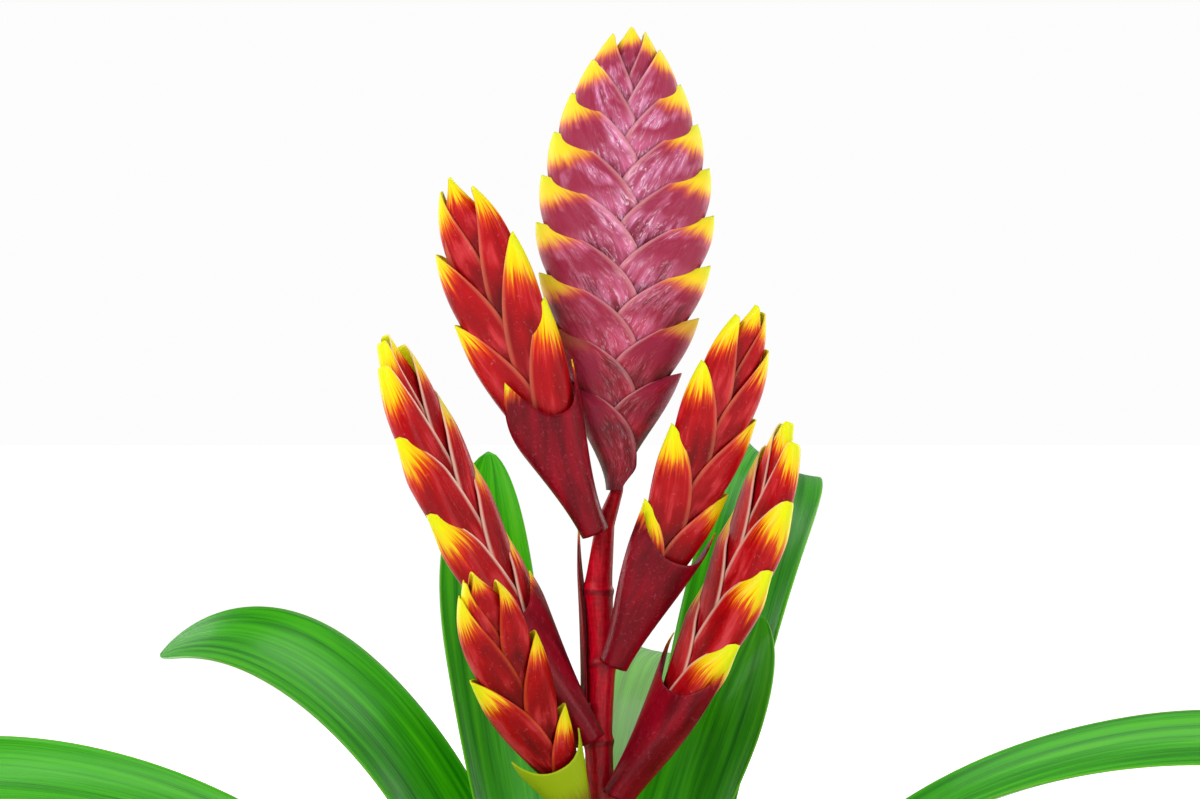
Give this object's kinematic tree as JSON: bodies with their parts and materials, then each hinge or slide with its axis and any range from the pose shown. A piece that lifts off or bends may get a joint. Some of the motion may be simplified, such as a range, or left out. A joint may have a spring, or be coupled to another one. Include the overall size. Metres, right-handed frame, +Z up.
{
  "type": "potted bromeliad",
  "caption": "Rosette of arching strap leaves in a round clay pot, with a tall red and yellow flower spike and shorter side spikes of overlapping bracts.",
  "frame": {"origin": "middle of the pot's flat underside, on the surface it stands on", "axes": "+Z up along the pot's axis and the flower stalk; -Y is the front, which the flat side of the large spike faces; +X runs to the right of the front"},
  "size_m": [0.5217, 0.4893, 0.4621],
  "materials": {
    "clay": "matte fired clay",
    "potting_mix": "rough bark and peat mix",
    "leaf": "glossy green leaf",
    "stem": "satin red stalk",
    "bract": "waxy crimson bract with a yellow tip"
  },
  "bodies": {
    "root": {"pot": "clay", "potting_mix": "potting_mix", "root_crown": "leaf", "leaf_01": "leaf", "leaf_02": "leaf", "leaf_03": "leaf", "leaf_04": "leaf", "leaf_05": "leaf", "leaf_06": "leaf", "leaf_07": "leaf", "leaf_08": "leaf", "leaf_09": "leaf", "leaf_10": "leaf", "leaf_11": "leaf", "leaf_12": "leaf", "leaf_13": "leaf", "leaf_14": "leaf", "leaf_15": "leaf", "leaf_16": "leaf", "leaf_17": "leaf", "flower_stalk": "stem", "stalk_bract_1": "bract", "stalk_bract_2": "bract", "stalk_bract_3": "bract", "main_spike_bract_01": "bract", "main_spike_bract_02": "bract", "main_spike_bract_03": "bract", "main_spike_bract_04": "bract", "main_spike_bract_05": "bract", "main_spike_bract_06": "bract", "main_spike_bract_07": "bract", "main_spike_bract_08": "bract", "main_spike_bract_09": "bract", "main_spike_bract_10": "bract", "main_spike_bract_11": "bract", "main_spike_bract_12": "bract", "main_spike_bract_13": "bract", "main_spike_bract_14": "bract", "main_spike_bract_15": "bract", "main_spike_bract_16": "bract", "main_spike_bract_17": "bract", "main_spike_bract_18": "bract", "main_spike_bract_19": "bract", "side_spike_left_upper": "bract", "sheath_left_upper": "bract", "side_spike_right_upper": "bract", "sheath_right_upper": "bract", "side_spike_left_middle": "bract", "sheath_left_middle": "bract", "side_spike_left_front": "bract", "sheath_left_front": "bract", "side_spike_right_lower": "bract", "sheath_right_lower": "bract"}
  },
  "joints": []
}
